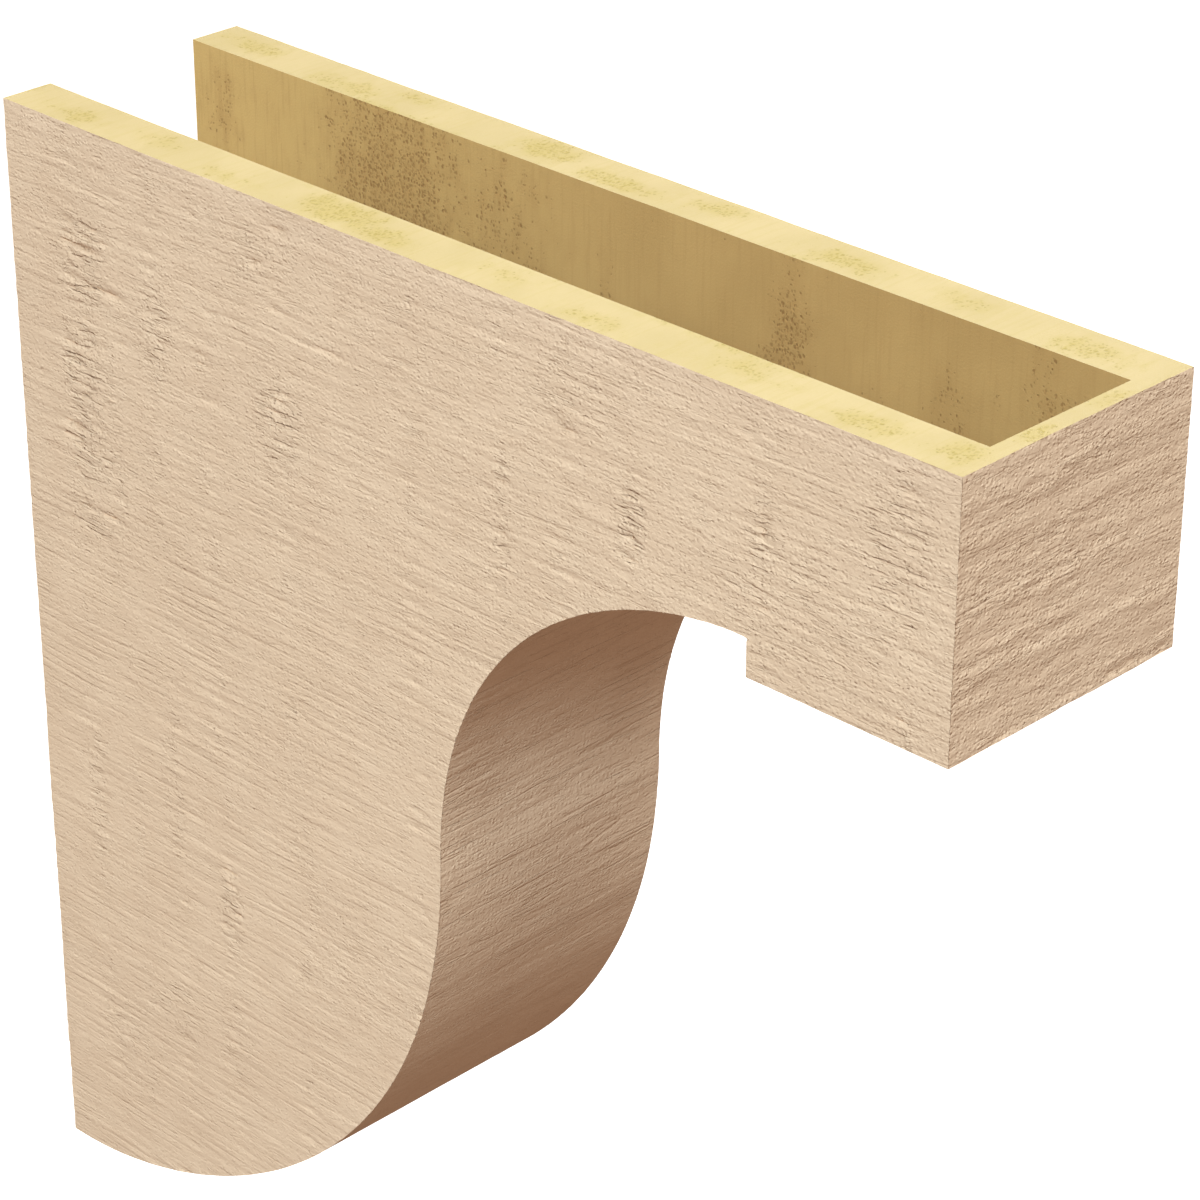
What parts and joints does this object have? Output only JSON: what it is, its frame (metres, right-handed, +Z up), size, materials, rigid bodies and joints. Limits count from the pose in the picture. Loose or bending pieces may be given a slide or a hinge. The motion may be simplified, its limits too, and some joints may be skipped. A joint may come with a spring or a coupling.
{
  "type": "corbel",
  "caption": "Hollow moulded wall corbel with a square nose block, a stepped scrolled underside and a rough-sawn timber surface, open at the top and the back.",
  "frame": {"origin": "on the back rim that meets the wall, in the middle of the short bottom strip that joins the two side walls", "axes": "+Z up, +Y into the wall, so the nose points along -Y, and X runs across the width"},
  "size_m": [0.1016, 0.4064, 0.4064],
  "materials": {
    "tan_primed_foam": "rough-sawn timber texture moulded in dense foam, matt tan primer outside, raw yellow foam on the rims and inside"
  },
  "bodies": {
    "root": {"corbel_body": "tan_primed_foam"}
  },
  "joints": []
}
